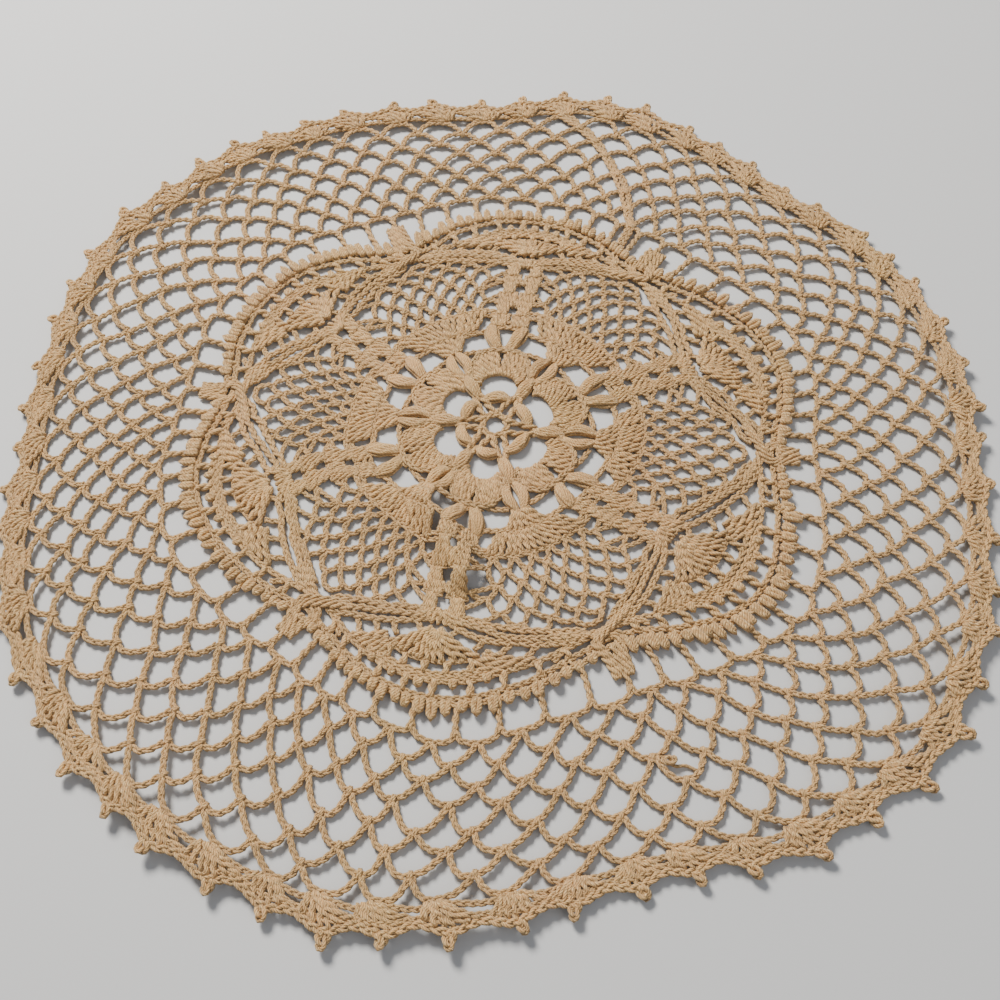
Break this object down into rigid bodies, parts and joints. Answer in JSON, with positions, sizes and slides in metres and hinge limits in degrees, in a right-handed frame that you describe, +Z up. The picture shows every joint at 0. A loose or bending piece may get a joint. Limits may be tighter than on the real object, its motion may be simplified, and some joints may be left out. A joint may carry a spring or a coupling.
{
  "type": "crocheted lace doily",
  "caption": "Round openwork doily of crocheted cotton: a pineapple lace medallion, a wide chain net and a dense wavy edging of small picots, lying flat.",
  "frame": {"origin": "on the surface the doily lies on, under the middle of its outline's box", "axes": "+Z up, through the thickness; +Y away from the viewer of the picture, +X to that viewer's right"},
  "size_m": [0.3432, 0.3406, 0.0077],
  "materials": {
    "cotton": "matt ecru crochet cotton, slightly fuzzy, with soft sheen on the plies"
  },
  "bodies": {
    "root": {"doily": "cotton"}
  },
  "joints": []
}
